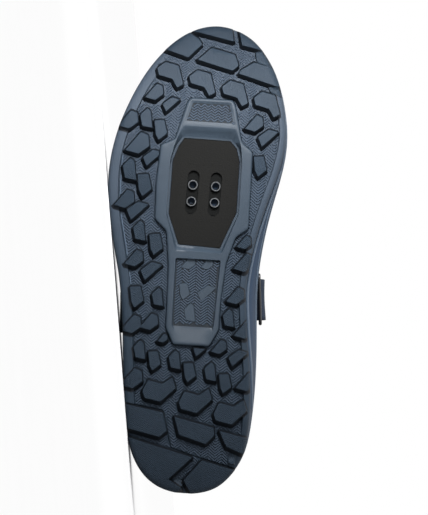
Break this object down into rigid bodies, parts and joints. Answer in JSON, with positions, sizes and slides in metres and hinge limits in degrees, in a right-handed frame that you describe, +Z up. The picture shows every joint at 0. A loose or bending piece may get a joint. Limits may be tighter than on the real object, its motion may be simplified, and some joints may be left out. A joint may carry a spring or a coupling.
{
  "type": "cycling shoe",
  "caption": "Off-road cycling shoe with a lugged rubber sole, a recessed cleat pocket, a hollow low-cut upper and an instep strap, lying on its side.",
  "frame": {"origin": "on the floor that the shoe lies on, below the middle of its bounding box", "axes": "-X towards the toe, +Z up from the floor on which its outer side rests, and the sole faces -Y"},
  "size_m": [0.2872, 0.1268, 0.1134],
  "materials": {
    "outsole_rubber": "moulded, finely grained",
    "nylon": "smooth moulded, satin",
    "plate_nylon": "matte moulded",
    "plated_steel": "zinc plated",
    "foam": "moulded foam skin, matte",
    "insole_cloth": "knitted",
    "synthetic_leather": "fine grain, satin",
    "welded_film": "smooth film, satin",
    "tongue_cloth": "knitted",
    "strap_webbing": "coated webbing",
    "acetal": "moulded, satin"
  },
  "bodies": {
    "root": {"outsole": "outsole_rubber", "cleat_frame": "nylon", "cleat_plate": "plate_nylon", "cleat_nut_plate": "plated_steel", "midsole": "foam", "insole": "insole_cloth", "upper": "synthetic_leather", "tongue": "tongue_cloth", "throat_cover": "synthetic_leather", "toe_cap": "welded_film", "heel_counter": "welded_film", "instep_strap": "strap_webbing", "strap_loop": "acetal"}
  },
  "joints": []
}
